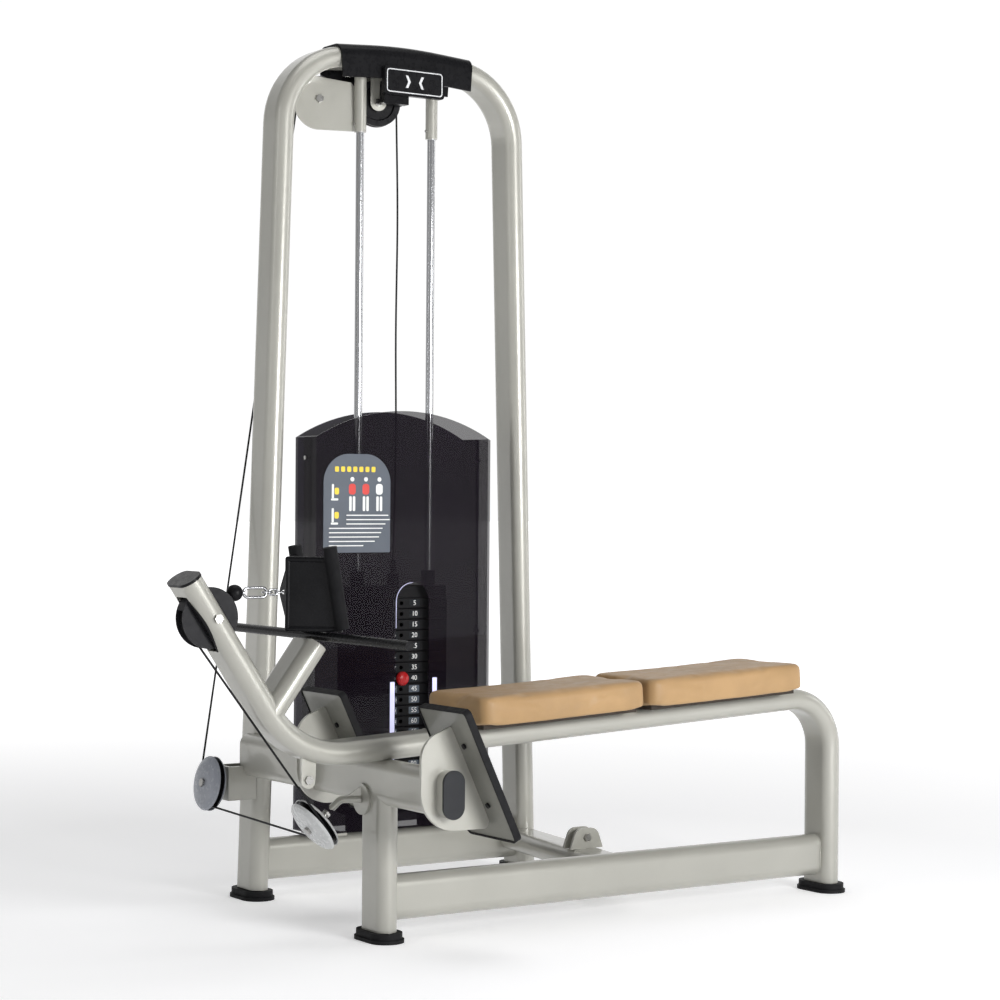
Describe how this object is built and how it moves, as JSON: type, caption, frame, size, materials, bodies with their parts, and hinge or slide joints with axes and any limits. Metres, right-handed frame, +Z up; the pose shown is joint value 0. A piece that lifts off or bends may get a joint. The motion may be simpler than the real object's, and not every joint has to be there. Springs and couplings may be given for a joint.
{
  "type": "seated cable row machine",
  "caption": "Seated cable row machine: weight-stack tower with smoked shroud, low boom with pulley and V handle, foot plates and a padded bench.",
  "frame": {"origin": "centre of the footprint of the bounding box, on the floor", "axes": "+Z up, +X along the bench from the boom to the rear leg, +Y from the bench to the weight tower"},
  "size_m": [1.8026, 1.0868, 2.0616],
  "materials": {
    "frame_paint": "gloss warm silver-gray paint",
    "black_rubber": "matte",
    "black_plastic": "satin",
    "black_metal": "satin black paint",
    "chrome": "polished",
    "black_iron": "satin black paint",
    "smoked_acrylic": "smoked, clear",
    "silver_cover": "silver",
    "cable_jacket": "nylon jacket",
    "tan_vinyl": "grained vinyl",
    "board": "plywood, black",
    "red_knob": "gloss",
    "gray_card": "printed card"
  },
  "bodies": {
    "frame": {"front_cross_tube": "frame_paint", "front_leg": "frame_paint", "bench_base_beam": "frame_paint", "tower_base_beam": "frame_paint", "rear_cross_tube": "frame_paint", "tower_arch": "frame_paint", "boom_tube": "frame_paint", "seat_rail": "frame_paint", "rest_support": "frame_paint", "boom_lug": "frame_paint", "anchor_ears": "frame_paint", "corner_pulley_plate": "frame_paint", "left_pulley_bracket": "frame_paint", "near_pulley_arm": "frame_paint", "foot_plates": "frame_paint", "foot_brackets": "frame_paint", "shroud_rests": "frame_paint", "rod_sleeves": "frame_paint", "top_pulley_hanger": "frame_paint", "rubber_feet": "black_rubber", "foot_mats": "black_rubber", "stack_buffers": "black_rubber", "boom_end_cap": "black_plastic", "cross_tube_cap": "black_plastic", "boom_pulley_guard": "black_plastic", "top_cover": "black_plastic", "top_pulley_guard": "black_plastic", "sign_badge": "black_plastic", "rest_bar": "black_metal", "guide_rods": "chrome", "axle_bolts": "chrome", "small_screws": "chrome", "foot_plate_bolts": "chrome", "resting_plates": "black_iron", "front_shroud": "smoked_acrylic", "rear_shroud": "smoked_acrylic", "left_pulley_cover": "silver_cover", "near_pulley_cover": "silver_cover", "stack_cable": "cable_jacket", "tower_cable": "cable_jacket", "lower_cable": "cable_jacket", "pull_cable": "cable_jacket", "front_pad": "tan_vinyl", "rear_pad": "tan_vinyl", "pad_boards": "board", "placard": "gray_card"},
    "handle": {"stopper_ball": "chrome", "snap_hook": "chrome", "chain_links": "chrome", "handle_frame": "black_metal", "handle_grips": "black_rubber"},
    "lifted_stack": {"lifted_plates": "black_iron", "head_plate": "black_iron", "selector_stem": "chrome"},
    "selector": {"selector_pin": "red_knob"},
    "top_wheel": {"top_pulley": "black_plastic"},
    "corner_wheel": {"corner_pulley": "black_plastic"},
    "left_wheel": {"left_pulley": "black_plastic"},
    "near_wheel": {"near_pulley": "black_plastic"},
    "boom_wheel": {"boom_pulley": "black_plastic"}
  },
  "joints": [
    {"name": "stack_lift", "type": "slide", "parent": "frame", "child": "lifted_stack", "axis": [0, 0, 1], "range_m": [0, 0.85], "deforming": ["stack_cable"]},
    {"name": "handle_pull", "type": "slide", "parent": "frame", "child": "handle", "axis": [1, 0, 0], "range_m": [0, 0.85]},
    {"name": "pin_pull", "type": "slide", "parent": "lifted_stack", "child": "selector", "axis": [0, -1, 0], "range_m": [0, 0.1]},
    {"name": "top_pulley_spin", "type": "hinge", "parent": "frame", "child": "top_wheel", "pos_m": [-0.04278, 0.47842, 1.925], "axis": [0.2756, 0.9613, 0], "range_deg": [-980, 0]},
    {"name": "corner_pulley_spin", "type": "hinge", "parent": "frame", "child": "corner_wheel", "pos_m": [-0.18714, 0.51677, 1.92508], "axis": [0.2752, 0.9596, -0.0584], "range_deg": [-980, 0]},
    {"name": "left_pulley_spin", "type": "hinge", "parent": "frame", "child": "left_wheel", "pos_m": [-0.49978, 0.45634, 0.27991], "axis": [0.9873, 0.0048, -0.1587], "range_deg": [-980, 0]},
    {"name": "near_pulley_spin", "type": "hinge", "parent": "frame", "child": "near_wheel", "pos_m": [-0.53819, -0.11037, 0.25316], "axis": [0.7928, -0.0183, 0.6091], "range_deg": [-980, 0]},
    {"name": "boom_pulley_spin", "type": "hinge", "parent": "frame", "child": "boom_wheel", "pos_m": [-0.82496, -0.16036, 0.70699], "axis": [0, 1, 0], "range_deg": [0, 980]}
  ],
  "couplings": [
    {"joint": "handle_pull", "follows": "stack_lift", "ratio": 1},
    {"joint": "top_pulley_spin", "follows": "stack_lift", "rad_per_m": -20},
    {"joint": "corner_pulley_spin", "follows": "stack_lift", "rad_per_m": -20},
    {"joint": "left_pulley_spin", "follows": "stack_lift", "rad_per_m": -20},
    {"joint": "near_pulley_spin", "follows": "stack_lift", "rad_per_m": -20},
    {"joint": "boom_pulley_spin", "follows": "stack_lift", "rad_per_m": 20}
  ]
}
